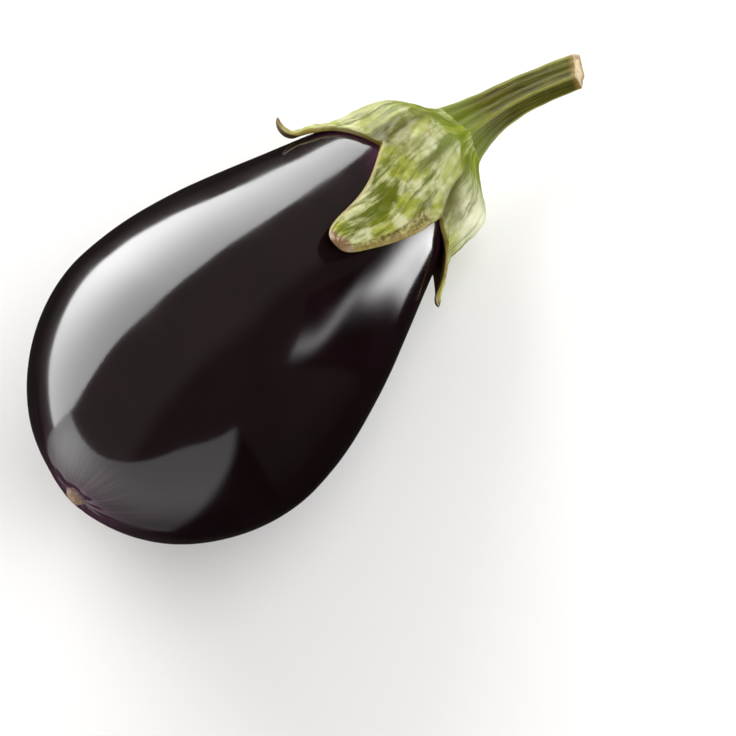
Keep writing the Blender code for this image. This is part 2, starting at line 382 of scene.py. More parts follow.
# %% The skin as a turned surface
SKIN_ROWS = 250
SKIN_COLUMNS = 361
EASE = 0.25 * MM  # how softly the belly meets the flat spot
YOUNG_SIDE = 2.6  # direction round the axis, in radians, in which the most young skin shows

crowded = np.linspace(0, 1, SKIN_ROWS)
crowded = 0.4 * crowded + 0.3 * (1 - np.cos(math.pi * crowded))
around = np.linspace(0, math.tau, SKIN_COLUMNS)
walk, angle = np.meshgrid(WHOLE_WALK * crowded, around % math.tau, indexing="ij")
skin_points, _ = over_fruit(angle, walk, 0.0)
skin_points[..., 2] = 0.5 * (skin_points[..., 2] + np.sqrt(skin_points[..., 2] ** 2 + EASE**2))
for pole in (0, -1):
    skin_points[pole] = skin_points[pole].mean(0)
just_below_calyx = 1 - step(VALLEY_WALK + 3 * MM, VALLEY_WALK + 14 * MM, walk)
skin_patch = {
    "points": skin_points,
    "uv": np.stack([np.broadcast_to(around / math.tau, walk.shape), walk / WHOLE_WALK], -1),
    "from_calyx": calyx_shade(angle, walk),
    "young": just_below_calyx * (0.25 + 0.75 * bump(apart(angle, YOUNG_SIDE), 0.7)),
    "from_blossom": WHOLE_WALK - walk,
}
skin = make_piece("fruit_skin", [skin_patch])
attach(skin, "root")
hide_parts("fruit")

# %% [markdown]
# ## The stalk's surface
#
# The stalk leaves the calyx, bends up and to one side, and ends in a cut. Its surface is a ribbed ring
# carried along one Bezier curve. The ring widens where it flows into the calyx, by a falling exponential, and
# carries on a little way below the join, so that the calyx can be blended out of it with no visible seam.
# Columns are shared with the calyx: five lobes, each with the same cross positions from -1 to 1, so that
# every rib runs into its own lobe.

# %% The stalk's path and its rings
SCAR_CENTRE = np.array([0, -3.8 * MM, FRUIT_LENGTH + 3.4 * MM])  # upright, where the stalk joins the calyx
STEM_START = unit(np.array([-0.03, -0.10, 1.0]))
STEM_END = SCAR_CENTRE + np.array([-10.7, -13.5, 35.4]) * MM
STEM_END_DIRECTION = unit(np.array([-0.537, -0.537, 0.65]))
START_HANDLE = 0.38  # how far the curve keeps to its first and last direction, as shares of its span
END_HANDLE = 0.44
BELOW_JOIN = 1.08  # spans of straight path for each 1 of t below the join
CUT_RADIUS = 4.5 * MM
FLARE = 0.92  # how much wider the ring is at the join, and the share of the way in which that falls off
FLARE_REACH = 0.30
BETWEEN_RIBS = 0.87  # radius between two ribs, as a share of the ring's own
RIB_HEIGHT = 0.23
FINE_RIB_HEIGHT = 0.025
TWIST = 0.35  # radians that the ribs turn from the calyx to the cut
CUT_SLANT = math.radians(9)

ACROSS = np.sin(math.pi / 2 * np.linspace(-1, 1, 49))  # cross positions in a lobe, crowded towards its edges


def stalk_path(t):
    """(upright point, direction) of the stalk's middle line at shares t of its length; straight below 0."""
    span = np.linalg.norm(STEM_END - SCAR_CENTRE)
    corners = (
        SCAR_CENTRE,
        SCAR_CENTRE + STEM_START * span * START_HANDLE,
        STEM_END - STEM_END_DIRECTION * span * END_HANDLE,
        STEM_END,
    )
    inside = np.clip(t, 0, 1)
    nearby = 1e-4
    ahead = bezier(corners, np.minimum(inside + nearby, 1))
    behind = bezier(corners, np.maximum(inside - nearby, 0))
    below = np.minimum(t, 0)[:, None] * span * BELOW_JOIN * STEM_START
    return bezier(corners, inside) + below, unit(ahead - behind)


def lobe_angles(number):
    """Directions round the axis of a lobe's columns, above the valleys."""
    middle, before, after = lobe_sides(number)
    return middle + np.where(ACROSS < 0, before, after) * ACROSS


def stalk_ring(number, t):
    """(upright points, rib) of one lobe's share of the stalk: ribbed rings, square to the path at each t."""
    t = np.asarray(t, float)
    centre, direction = stalk_path(t)
    side_y = unit(np.cross(direction, np.array([1.0, 0, 0])))
    side_x = np.cross(side_y, direction)
    rib = (0.5 + 0.5 * np.cos(math.pi * ACROSS)) ** 1.6
    ribbed = BETWEEN_RIBS + RIB_HEIGHT * rib + FINE_RIB_HEIGHT * np.cos(3 * math.pi * ACROSS)
    radius = (CUT_RADIUS * (1 + FLARE * np.exp(-t / FLARE_REACH)))[:, None] * ribbed
    angle = lobe_angles(number) + TWIST * np.clip(t, 0, 1)[:, None]
    x, y = radius * np.cos(angle), radius * np.sin(angle)
    points = centre[:, None] + x[..., None] * side_x[:, None] + y[..., None] * side_y[:, None]
    ripple = 0.10 * swellings(points, 9 * MM, seed=11) + 0.03 * swellings(points, 3 * MM, seed=12)
    points = points + unit(points - centre[:, None]) * (MM * ripple)[..., None]
    slant = math.tan(CUT_SLANT) * y * step(0.75, 1, t)[:, None]
    return points + slant[..., None] * direction[:, None], rib


stalk_span = float(np.linalg.norm(STEM_END - SCAR_CENTRE))
print("stalk", round(stalk_span / MM, 1), "mm from the calyx to the cut, in a straight line")

# %% [markdown]
# ## The calyx
#
# The calyx is one thick green sheet. Its lining follows the skin, and its outside is lifted off the lining
# by the thickness, which fades to nothing at the edges as a rounded rim does. Above the valleys the sheet is
# whole. Below them each lobe goes its own way to its tip: lobes stand off the skin, their tips curl and their
# edges roll out. A curl is an arc: past its start, the walk becomes a sine and the lift one minus a cosine.

# %% The lining of one lobe
GAP = 0.35 * MM
SLOPE_STEP = 0.5 * MM  # distance walked between the two points that give the direction down a lobe
WAVE = 0.35 * MM  # how far the sides of a lobe wave off the skin and back
STAND_BELOW_VALLEY = 0.30 * MM  # how far every lobe stands off the skin soon after the valley
ROLL_FROM = 0.5  # share of the way from the mid rib to the edge at which the edge starts to roll


def arc(distance, angle, length):
    """(forward, up, angle turned) after a distance along a strip that rolls by an angle over a length."""
    turned = np.maximum(distance, 0) / length * angle
    radius = length / angle
    return np.minimum(distance, 0) + radius * np.sin(turned), radius * (1 - np.cos(turned)), turned


def lobe_sheet(number, x):
    """(lining, outward direction, distance to the edge, marks) of a lobe, at shares x of the way down it."""
    lobe = LOBES[number]
    x, u = np.meshgrid(x, ACROSS, indexing="ij")
    reach = lobe_reach(number)
    middle, before, after = lobe_sides(number)
    valley_radius = np.interp(VALLEY_WALK, WALKED, PROFILE[:, 0])
    below = np.clip(x, 0, 1)
    half = np.where(u < 0, before, after) * valley_radius * lobe_width(lobe, below)

    # down the lobe: the walk, with the tip's curl
    curl_start = lobe["from"] * reach
    forward, up, turned = arc(x * reach - curl_start, math.radians(lobe["curl"]), reach - curl_start)
    walk = VALLEY_WALK + curl_start + forward

    # across the lobe: the distance from its mid rib, with the edge's roll, which sets in below the valleys
    rolled = step(0.05, 0.35, below)
    roll = np.radians(np.where(u < 0, lobe["roll"][0], lobe["roll"][1])) + 1e-3
    sign = np.where(u < 0, -1, 1)
    strip = np.maximum((1 - ROLL_FROM) * half, 1e-6)
    side, side_up, side_turned = arc((np.abs(u) - ROLL_FROM) * half, roll, strip)
    side = sign * ((side + ROLL_FROM * half) * rolled + np.abs(u) * half * (1 - rolled))
    side_up, side_turned = side_up * rolled, sign * side_turned * rolled

    radius = np.interp(np.minimum(walk, WHOLE_WALK), WALKED, PROFILE[:, 0])
    radius = np.where(x < 0, valley_radius, radius)
    angle = middle + math.radians(lobe["sway"]) * step(0.15, 1, below) ** 1.4 + side / radius
    wave = WAVE * np.sin(7 * below + 2.1 * number + 2 * u) * step(0.1, 0.6, below) * np.abs(u) ** 2
    wave = wave * (1 - step(0.8, 1, below))
    stand = lobe["stand"] * MM * step(0, 1, below) + wave + STAND_BELOW_VALLEY * step(0, 0.3, below)
    lift = GAP + stand + up + side_up
    lining, outward = over_fruit(angle, walk, lift)

    ahead, _ = over_fruit(angle, walk + SLOPE_STEP, lift)
    down_lobe = unit(ahead - lining)
    sideways = np.cross(down_lobe, outward)
    outward = np.cos(turned)[..., None] * outward - np.sin(turned)[..., None] * down_lobe
    # sideways points towards falling angles, so the edge that rolls out tips the outside towards it
    outward = unit(np.cos(side_turned)[..., None] * outward + np.sin(side_turned)[..., None] * sideways)

    to_side = (1 - np.abs(u)) * half
    to_tip = (1 - below) * reach * 0.9
    to_edge = np.where(x < 0, np.hypot(to_side, -x * reach), np.minimum(to_side, to_tip))
    return lining, outward, to_edge, {"x": x, "u": u, "half": half, "walk": walk}


for number in range(len(LOBES)):
    lining, _, _, _ = lobe_sheet(number, [1.0])
    print("tip of lobe", number, "at", lining[0, 0].round(3))

# %% [markdown]
# ## How thick the calyx is
#
# A real calyx is fleshy at its crown and on its shoulders and thin along its blades. A rib runs down the
# middle of each lobe, veins branch off it, fine wrinkles run down the crown, and above every valley the
# flesh is creased in. Each of these is a height that is added to the sheet or taken from it. A value that
# differs from lobe to lobe is eased to the mean at the valley, so that two lobes meet without a step.

# %% Thickness of the sheet
ROOT = 1.0 * MM  # thickness beside the stalk
FOLDED_OVER = 40  # degrees of roll past which an edge is folded over


def across_lobes(number, u, key):
    """A lobe's value in its middle, eased to the mean with its neighbour's at the valley that they share."""
    own, before, after = (LOBES[(number + places) % len(LOBES)][key] for places in (0, -1, 1))
    beside = np.where(u < 0, before, after)
    return own + (beside - own) * 0.5 * step(0, 1, np.abs(u))


def lobe_relief(number, u, x, walk):
    """Thickness before the edge is rounded: crown, shoulder, mid rib, fold, veins, wrinkles and creases."""
    crown, blade, hump = (across_lobes(number, u, key) * MM for key in ("crown", "blade", "hump"))
    flesh = ROOT + (crown - ROOT) * step(9 * MM, 24 * MM, walk)
    flesh = flesh + (blade - flesh) * step(25 * MM, VALLEY_WALK + 7 * MM, walk)
    on_shoulder = bump(walk - across_lobes(number, u, "hump_at") * MM, 8 * MM)
    hump = hump * np.cos(math.pi * u / 2) ** 2 * on_shoulder
    rib = 0.75 * MM * bump(u, 0.16) * step(12 * MM, 30 * MM, walk) * (1 - step(0.85, 1, x))
    fold = bump(u - ROLL_FROM, 0.06) * step(0.02, 0.2, x) * (1 - step(0.8, 1, x))
    fold = 0.6 * MM * fold * (LOBES[number]["roll"][1] > FOLDED_OVER)
    branching = np.sin(9 * np.abs(u) - walk / (1.5 * MM))
    veins = 0.16 * MM * branching * bump(np.abs(u) - 0.5, 0.35) * step(0, 0.3, x)
    wrinkles = np.sin(math.tau * (3.2 * u + 0.35 * np.sin(walk / (4 * MM) + number) + 0.3 * number))
    wrinkles = 0.42 * MM * np.maximum(wrinkles, 0) ** 3 * step(13 * MM, 30 * MM, walk) * (1 - u**4)
    above_valley = bump(walk - 29 * MM, 9 * MM) * (1 - step(0, 0.25, x))
    deep = np.where(u < 0, CREASES[number - 1], CREASES[number]) * MM
    crease = deep * (0.6 * bump(1 - np.abs(u), 0.26) + 0.4 * bump(1 - np.abs(u), 0.08)) * above_valley
    return flesh + hump + rib + fold + veins - wrinkles - crease


def lumps_on(points):
    """Small unevenness of the calyx: swellings of two sizes."""
    return MM * (0.24 * swellings(points, 7 * MM, seed=21) + 0.09 * swellings(points, 2.2 * MM, seed=22))


def rounded(to_edge, thickness):
    """Share of the thickness that a round rim leaves at a distance from the edge: a quarter circle."""
    share = np.clip(to_edge / np.maximum(0.8 * thickness, 1e-6), 0, 1)
    return np.sqrt(np.maximum(1 - (1 - share) ** 2, 0))


print("a rim 1 mm thick is", rounded(0.2 * MM, 1 * MM).round(2), "mm thick 0.2 mm from its edge")

# %% [markdown]
# ## From the stalk into the calyx
#
# On the real one no line shows where the stalk ends and the calyx begins. So the crown is a set of cubic
# curves, one for each column. Each leaves the stalk's foot in the direction in which the rings run on, and
# arrives in the direction in which the sheet goes on, so it fits both without a crease. The outside and the
# lining of a lobe share the points of its edge, where the thickness is nothing, and so close on each other.

# %% The patches of the calyx
CROWN_WALK = 20 * MM  # where the blend out of the stalk ends
NEAR = 0.2 * MM  # how far apart two points are that give a slope
LEAVING = 0.5  # how strongly the blend follows the stalk and the crown, as shares of its chord
ARRIVING = 0.9
CALYX_FLOW = 20  # lengths of the UV map in a metre of calyx
FAR_FROM_EDGE = 0.05  # metres, for a point that the browner edge never reaches
PALEST_LOBE = 3  # the lobe that keeps the most pale wax on its shoulder


def hermite(start, leaving, end, arriving, share):
    """Cubic curves from start to end, one a column, that leave and arrive along the given vectors."""
    s = share[:, None, None]
    from_start = (2 * s**3 - 3 * s**2 + 1) * start + (s**3 - 2 * s**2 + s) * leaving
    return from_start + (3 * s**2 - 2 * s**3) * end + (s**3 - s**2) * arriving


def crown_blend(number, share):
    """Outside of a lobe's part of the crown: cubic curves from the stalk's foot to the sheet's first row."""
    walk, angle = np.meshgrid([CROWN_WALK - NEAR, CROWN_WALK], lobe_angles(number), indexing="ij")
    u = np.broadcast_to(ACROSS, angle.shape)
    lining, outward = over_fruit(angle, walk, GAP)
    thickness = lobe_relief(number, u, 0 * u, walk) + lumps_on(lining)
    before_crown, at_crown = lining + outward * thickness[..., None]
    at_stalk, past_stalk = lay_down(stalk_ring(number, [0.0, -0.01])[0])
    chord = np.linalg.norm(at_crown - at_stalk, axis=1)[:, None]
    leaving = unit(past_stalk - at_stalk) * chord * LEAVING
    arriving = unit(at_crown - before_crown) * chord * ARRIVING
    return hermite(at_stalk, leaving, at_crown, arriving, share)


def lobe_patches(number):
    """The outside and the lining of one lobe, from the join with the stalk and from the axis to the tip."""
    reach = lobe_reach(number)
    upper_rows = (np.linspace(CROWN_WALK, VALLEY_WALK, 34)[:-1] - VALLEY_WALK) / reach
    tip_rows = 1 - (1 - np.linspace(0, 1, 90)) ** 1.6
    lining, outward, to_edge, marks = lobe_sheet(number, np.concatenate([upper_rows, tip_rows]))
    lower_x = np.clip(marks["x"], 0, 1)
    flesh = lobe_relief(number, marks["u"], lower_x, marks["walk"])
    thickness = (flesh + lumps_on(lining)) * rounded(to_edge, flesh)

    share = np.linspace(0, 1, 26)[:-1]
    blend_walk, blend_u = np.meshgrid(CROWN_WALK * share, ACROSS, indexing="ij")
    walk = np.concatenate([blend_walk, marks["walk"]])
    u = np.concatenate([blend_u, marks["u"]])
    x = np.concatenate([0 * blend_u, lower_x])
    from_rib = u * np.concatenate([0 * blend_u + 12 * MM, marks["half"]])
    # painted shade: the valley mark is a darker olive painted into the valleys between the lobes; this is how
    # wide it runs
    valley_shade_width = 0.14 + 0.26 * bump(walk - VALLEY_WALK + 5 * MM, 5 * MM)
    above_valley = 1 - step(VALLEY_WALK - 1 * MM, VALLEY_WALK + 3 * MM, walk)
    wax = 1.0 if number == PALEST_LOBE else 0.35
    folded = LOBES[number]["roll"][1] > FOLDED_OVER
    outside_patch = {
        "points": np.concatenate([crown_blend(number, share), lining + outward * thickness[..., None]]),
        "uv": np.stack([from_rib * CALYX_FLOW + number, walk * CALYX_FLOW], -1),
        "valley": bump(1 - np.abs(u), valley_shade_width) * above_valley,
        "bloom": bump(walk - 27 * MM, 9 * MM) * bump(u + 0.1, 0.75) * wax,
        "tip": step(0.78, 1, x),
        "edge": np.concatenate([0 * blend_u + FAR_FROM_EDGE, to_edge]),
        "crown": 1 - step(12 * MM, 30 * MM, walk),
        "folded": step(0.46, 0.56, u) * step(0.02, 0.2, x) * folded,
    }

    inner_rows = (np.linspace(0, CROWN_WALK, 16)[:-1] - VALLEY_WALK) / reach
    top, _, _, top_marks = lobe_sheet(number, inner_rows)
    top[0] = lay_down(np.array([0, 0, FRUIT_LENGTH + GAP]))
    lining_u = np.concatenate([top_marks["u"], marks["u"]])
    lining_walk = np.concatenate([top_marks["walk"], marks["walk"]])
    lining_patch = {
        "points": np.concatenate([top, lining]),
        "uv": np.stack([lining_u, lining_walk], -1),
        "tip": np.concatenate([0 * top_marks["x"], step(0.78, 1, lower_x)]),
        "edge": np.concatenate([0 * top_marks["x"] + FAR_FROM_EDGE, to_edge]),
        # painted shade: the lining is marked so that the finish paints it dark brown, for the shade under the
        # lobes
        "inside": 1.0,
        "turned": True,
    }
    return outside_patch, lining_patch


def disc(centre, rings, rim, **marks):
    """A flat patch from a middle point out to a rim of points."""
    share = np.linspace(0, 1, rings)[:, None, None]
    points = centre + (rim[None] - centre) * share
    uv = np.stack(np.broadcast_arrays(share[..., 0], np.linspace(0, 1, rim.shape[0])[None]), -1)
    return {"points": points, "uv": uv, **marks}


calyx_patches = []
join_rim = []
for number in range(len(LOBES)):
    calyx_patches += lobe_patches(number)
    join_rim.append(lay_down(stalk_ring(number, [0.0])[0])[0][:-1])
join_rim = np.concatenate(join_rim + [join_rim[0][:1]])
join_centre = lay_down(SCAR_CENTRE)
calyx_patches.append(disc(join_centre, 4, join_rim, edge=FAR_FROM_EDGE))
calyx = make_piece("calyx_cap", calyx_patches)
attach(calyx, "root")
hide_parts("calyx")

# %% [markdown]
# ## The stalk as a piece
#
# The stalk uses the same rings from the join up to the cut. The cut face is a shallow dish: the fibres near
# its rim stand a little prouder than the pith.

# %% The stalk and its cut face
STALK_ROWS = 110
CUT_RINGS = 26
DISH_DEPTH = 0.5 * MM
FIBRE_HEIGHT = 0.25 * MM
PITH_GRAIN = 0.06 * MM


def cut_face(rim):
    """The cut: a disc that dips by 1 - share^2, with a bell for the fibres near the rim and a fine grain."""
    _, direction = stalk_path(np.array([1.0]))
    outward = lay_down(direction)[0] - BLOSSOM_END
    share = np.linspace(0, 1, CUT_RINGS)[:, None]
    face = disc(rim[:-1].mean(0), CUT_RINGS, rim, cut=1.0, turned=True)
    dish = -DISH_DEPTH * (1 - share**2) + FIBRE_HEIGHT * bump(share - 0.86, 0.08)
    grain = PITH_GRAIN * swellings(face["points"], 0.7 * MM, seed=31) * (1 - share**8)
    lift = dish * (1 - step(0.93, 1, share)) + grain
    face["points"] = face["points"] + lift[..., None] * outward
    face["radius_share"] = np.broadcast_to(share, lift.shape)
    return face


def stalk_patches():
    """Side of the stalk for each lobe's share, the hidden face at the join, and the cut face."""
    t = np.linspace(0, 1, STALK_ROWS)
    patches, rims = [], []
    for number in range(len(LOBES)):
        ring, rib = stalk_ring(number, t)
        points = lay_down(ring)
        rims.append(points[-1][:-1])
        length, across = np.meshgrid(t, ACROSS, indexing="ij")
        patches.append(
            {
                "points": points,
                "uv": np.stack([across * 0.1 + number * 0.2, length * 0.8], -1),
                "rib": np.broadcast_to(rib, length.shape),
                "length": length,
                "turned": True,
            }
        )
    patches.append(disc(join_centre, 4, join_rim, cut=0.0))
    patches.append(cut_face(np.concatenate(rims + [rims[0][:1]])))
    return patches


stalk = make_piece("stalk", stalk_patches(), sharp_angle=50)
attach(stalk, "root")
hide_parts("stem")

# %% [markdown]
# ## Materials
#
# Each finish is a node tree built by a few small helpers. A pattern that follows the surface reads the UV
# map or an attribute, and one that doesn't reads Object coordinates, which are the row frame because every
# piece sits at the origin.

# %% Helpers for node trees
def linear(red, green, blue):
    """Display colour from 0 to 255 to scene colour from 0 to 1, by the sRGB curve."""
    shares = [value / 255 for value in (red, green, blue)]
    return tuple(s / 12.92 if s <= 0.04045 else ((s + 0.055) / 1.055) ** 2.4 for s in shares)


class Tree:
    """A material's node tree, with one short method for each kind of step."""

    def __init__(self, name):
        self.material = bpy.data.materials.new(name)
        self.material.use_nodes = True
        self.nodes = self.material.node_tree.nodes
        self.links = self.material.node_tree.links
        self.shader = self.nodes["Principled BSDF"]

    def feed(self, socket, value):
        """Gives a socket what another one puts out, or a colour, or a number."""
        if isinstance(value, bpy.types.NodeSocket):
            self.links.new(value, socket)
        elif isinstance(value, tuple) and len(value) == 3 and socket.type == "RGBA":
            socket.default_value = (*value, 1)
        else:
            socket.default_value = value

    def node(self, kind, **settings):
        """A new node with its settings."""
        made = self.nodes.new(kind)
        for key, value in settings.items():
            setattr(made, key, value)
        return made

    def attribute(self, name):
        """A number that the mesh stores for each point."""
        return self.node("ShaderNodeAttribute", attribute_name=name).outputs["Fac"]

    def place(self, kind="Object", scale=(1, 1, 1)):
        """Coordinates, stretched by a Mapping node."""
        source = self.node("ShaderNodeTexCoord").outputs[kind]
        mapping = self.node("ShaderNodeMapping")
        self.links.new(source, mapping.inputs["Vector"])
        mapping.inputs["Scale"].default_value = scale
        return mapping.outputs["Vector"]

    def noise(self, scale, kind="Object", stretch=(1, 1, 1), detail=4.0, roughness=0.55, distortion=0.0):
        """Fractal noise from 0 to 1, with scale features to a metre or to a length of the UV map."""
        made = self.node("ShaderNodeTexNoise")
        self.feed(made.inputs["Vector"], self.place(kind, stretch))
        made.inputs["Scale"].default_value = scale
        made.inputs["Detail"].default_value = detail
        made.inputs["Roughness"].default_value = roughness
        made.inputs["Distortion"].default_value = distortion
        return made.outputs["Fac"]

    def span(self, value, low, high, to_low=0.0, to_high=1.0):
        """Maps a value from one range to another, clamped, with soft ends."""
        made = self.node("ShaderNodeMapRange", interpolation_type="SMOOTHSTEP")
        for name, number in (
            ("Value", value),
            ("From Min", low),
            ("From Max", high),
            ("To Min", to_low),
            ("To Max", to_high),
        ):
            self.feed(made.inputs[name], number)
        return made.outputs["Result"]

    def math(self, operation, a, b):
        """One sum on two values."""
        made = self.node("ShaderNodeMath", operation=operation)
        self.feed(made.inputs[0], a)
        self.feed(made.inputs[1], b)
        return made.outputs[0]

    def times(self, a, b):
        """a times b, which for two shares is the share where both hold."""
        return self.math("MULTIPLY", a, b)

    def ragged(self, value, noise, width):
        """A value that the noise pushes up and down: value + (noise - 0.5) * width."""
        return self.math("ADD", value, self.times(self.math("SUBTRACT", noise, 0.5), width))

    def blend(self, share, below, above):
        """Colour below where share is 0, above where it is 1."""
        made = self.node("ShaderNodeMix", data_type="RGBA")
        self.feed(made.inputs["Factor"], share)
        self.feed(made.inputs[6], below)
        self.feed(made.inputs[7], above)
        return made.outputs[2]

    def bump(self, height, distance, strength, under=None):
        """A normal tilted by the slope of a height, over another bump's normal if one is given."""
        made = self.node("ShaderNodeBump")
        made.inputs["Distance"].default_value = distance
        made.inputs["Strength"].default_value = strength
        self.feed(made.inputs["Height"], height)
        if under is not None:
            self.links.new(under, made.inputs["Normal"])
        return made.outputs["Normal"]

    def finish(self, colour, roughness, normal, constants):
        """Feeds the shader and gives back the material."""
        self.feed(self.shader.inputs["Base Color"], colour)
        self.feed(self.shader.inputs["Roughness"], roughness)
        self.links.new(normal, self.shader.inputs["Normal"])
        for name, value in constants.items():
            self.feed(self.shader.inputs[name], value)
        return self.material


print("a middle grey of 128 is", round(linear(128, 128, 128)[0], 3), "in scene colour")

# %% [markdown]
# ## The skin's finish
#
# An eggplant's skin is nearly black because it holds so much purple pigment, and glossy because it has a
# coat of wax. So the colour under the gloss is very dark, with a hint of purple that varies slowly, and the
# brightness comes from what it mirrors. Pigment is thin in two places: beside the calyx, where no light
# reached the skin and it stayed violet, and round the blossom end, where pale lilac streaks run in to the
# corky nub. Pale specks are the cells of a Voronoi pattern that a random pick keeps.

# %% Skin material
def pigment(tree, from_blossom):
    """Dark, slowly varying purple that thins to lilac streaks at the blossom end and violet at the calyx."""
    slow = tree.noise(22, detail=3)
    deep = tree.blend(tree.span(slow, 0.35, 0.7), (0.0045, 0.0018, 0.0022), (0.0100, 0.0040, 0.0056))
    streaks = tree.noise(1.0, kind="UV", stretch=(150, 5, 1), detail=6, roughness=0.7)
    near_blossom = tree.span(from_blossom, 4 * MM, 34 * MM, 1, 0)
    streaked = tree.times(tree.span(streaks, 0.42, 0.75), near_blossom)
    lilac = tree.blend(tree.times(streaked, 0.75), deep, linear(120, 78, 108))
    wash = tree.span(from_blossom, 3 * MM, 20 * MM, 0.42, 0)
    lilac = tree.blend(wash, lilac, linear(110, 70, 96))
    uneven = tree.noise(1.0, kind="UV", stretch=(90, 12, 1), detail=5)
    from_calyx = tree.ragged(tree.attribute("from_calyx"), uneven, 2.5 * MM)
    young = tree.attribute("young")
    near_edge = tree.times(tree.span(from_calyx, 0.0, 2.2 * MM, 0.5, 0), young)
    violet = tree.blend(near_edge, lilac, linear(84, 36, 62))
    wide = tree.times(tree.span(from_calyx, 0.5 * MM, 7 * MM, 0.30, 0), young)
    return tree.blend(wide, violet, linear(70, 30, 62))


def specks(tree):
    """Share that is a pale speck: the middle of a cell, where the cell's random red is high."""
    cells = tree.node("ShaderNodeTexVoronoi", feature="F1")
    tree.feed(cells.inputs["Vector"], tree.place())
    cells.inputs["Scale"].default_value = 95
    picks = tree.node("ShaderNodeSeparateColor")
    tree.links.new(cells.outputs["Color"], picks.inputs["Color"])
    middle = tree.span(cells.outputs["Distance"], 0.012, 0.024, 1, 0)
    return tree.times(middle, tree.math("GREATER_THAN", picks.outputs["Red"], 0.93))


def skin_finish():
    """Pigment, specks and a corky nub under a smooth coat, with faint orange peel and pores."""
    tree = Tree("eggplant_skin")
    from_blossom = tree.attribute("from_blossom")
    speckled = tree.blend(tree.times(specks(tree), 0.8), pigment(tree, from_blossom), linear(196, 176, 170))
    cork_share = tree.span(from_blossom, 2.2 * MM, 3.6 * MM, 1, 0)
    cork = tree.blend(tree.noise(900, detail=5), linear(112, 84, 58), linear(186, 156, 122))
    colour = tree.blend(cork_share, speckled, cork)

    haze = tree.noise(60, detail=4)
    roughness = tree.span(haze, 0.3, 0.75, 0.10, 0.17)
    roughness = tree.math("ADD", roughness, tree.times(cork_share, 0.5))
    pores = tree.bump(tree.noise(1400, detail=2), 0.02 * MM, strength=0.25)
    orange_peel = tree.bump(tree.noise(160, detail=2), 0.05 * MM, strength=0.25, under=pores)
    waxed = {"IOR": 1.5, "Coat Weight": 0.25, "Coat Roughness": 0.06}
    return tree.finish(colour, roughness, orange_peel, waxed)


skin.data.materials.append(skin_finish())
print("skin finish on", skin.name)

# %% [markdown]
# ## The calyx's finish
#
# The calyx is a satin green with whitish, waxy streaks that run from the stalk down each lobe, browner edges
# and dry brown tips. A darker olive is painted into the valleys between the lobes, and the lining under the
# lobes is painted dark brown: both are painted shade. Scuffs have healed to tan cork. The streaks are noise
# stretched along the UV map, which is laid out in real distances across and down each lobe. The colours are
# laid over each other in this order: green, wax, painted valley shade, stains, painted lining shade, browner
# edges, scuffs and dry tips.

# %% Calyx material
def calyx_finish():
    """Green under layers, each blended in by a share: noise, an attribute, or the product of the two."""
    tree = Tree("calyx_green")
    streaks = tree.noise(1.0, kind="UV", stretch=(14, 2.2, 1), detail=5, roughness=0.65, distortion=0.4)
    patches = tree.noise(130, detail=4)
    grain = tree.noise(700, detail=5, roughness=0.7)
    scuff_noise = tree.noise(75, detail=6, roughness=0.7, distortion=0.6)

    colour = tree.blend(tree.span(streaks, 0.40, 0.60), linear(84, 92, 8), linear(150, 156, 56))
    waxy = tree.times(tree.span(patches, 0.46, 0.66), tree.span(streaks, 0.38, 0.56))
    bloom = tree.times(tree.attribute("bloom"), tree.span(streaks, 0.32, 0.52, 0.15, 0.85))
    # painted shade: a darker olive painted into the valleys between the lobes, where shade falls
    hollow = tree.times(tree.attribute("valley"), tree.span(patches, 0.2, 0.7, 0.95, 0.6))
    crown = tree.times(tree.attribute("crown"), tree.span(streaks, 0.3, 0.6, 0.75, 0.3))
    folded = tree.blend(tree.span(grain, 0.35, 0.65), linear(84, 72, 26), linear(170, 164, 100))
    # painted shade: the lining under the lobes is painted dark brown for the shade between the lobes and the
    # fruit
    inside = tree.blend(tree.span(grain, 0.3, 0.7), linear(58, 38, 22), linear(104, 80, 46))
    edge = tree.span(tree.attribute("edge"), 0.2 * MM, 1.3 * MM, 0.75, 0)
    scuffs = tree.span(scuff_noise, 0.64, 0.70, 0, 0.75)
    dry = tree.span(tree.ragged(tree.attribute("tip"), patches, 0.5), 0.45, 0.85)
    for share, layer in (
        (tree.times(waxy, 0.75), linear(200, 201, 164)),
        (bloom, linear(212, 212, 184)),
        # painted shade in the valleys
        (hollow, linear(66, 60, 12)),
        (crown, linear(112, 132, 10)),
        # painted shade on the lining
        (tree.attribute("folded"), folded),
        (tree.attribute("inside"), inside),
        (edge, linear(120, 102, 46)),
        (scuffs, linear(156, 128, 82)),
        (dry, tree.blend(grain, linear(76, 54, 34), linear(150, 122, 84))),
    ):
        colour = tree.blend(share, colour, layer)

    roughness = tree.span(patches, 0.3, 0.7, 0.34, 0.52)
    fine = tree.bump(grain, 0.10 * MM, strength=0.35)
    veins = tree.bump(streaks, 0.45 * MM, strength=0.6, under=fine)
    rough_spots = tree.bump(scuff_noise, 0.6 * MM, strength=0.4, under=veins)
    fleshy = {
        "IOR": 1.42,
        "Subsurface Weight": 0.12,
        "Subsurface Radius": (0.6, 1.0, 0.25),
        "Subsurface Scale": 0.8 * MM,
    }
    return tree.finish(colour, roughness, rough_spots, fleshy)


calyx.data.materials.append(calyx_finish())
print("calyx finish on", calyx.name)

# %% [markdown]
# ## The stalk's finish
#
# The stalk is a darker olive, with pale straw-coloured lines along its ribs and fine fibres between them.
# Its cut face is tan: a darker ring of wood near the rim, and spongy pith in the middle, painted paler than
# its own tan as painted light, because the cut faces away from the lamps.

# %% Stalk material
def cut_colour_with_painted_light(tree, pith):
    """Tan pith lightened with painted light, and a darker ring between two shares of the radius."""
    share = tree.attribute("radius_share")
    # painted light: the pith's tan is painted paler than the real cut, because the cut faces away from the
    # lamps
    face = tree.blend(tree.span(pith, 0.3, 0.7), linear(196, 170, 128), linear(242, 226, 194))
    ring = tree.times(tree.span(share, 0.62, 0.78), tree.span(share, 0.86, 0.96, 1, 0))
    return tree.blend(tree.times(ring, 0.6), face, linear(132, 104, 66))


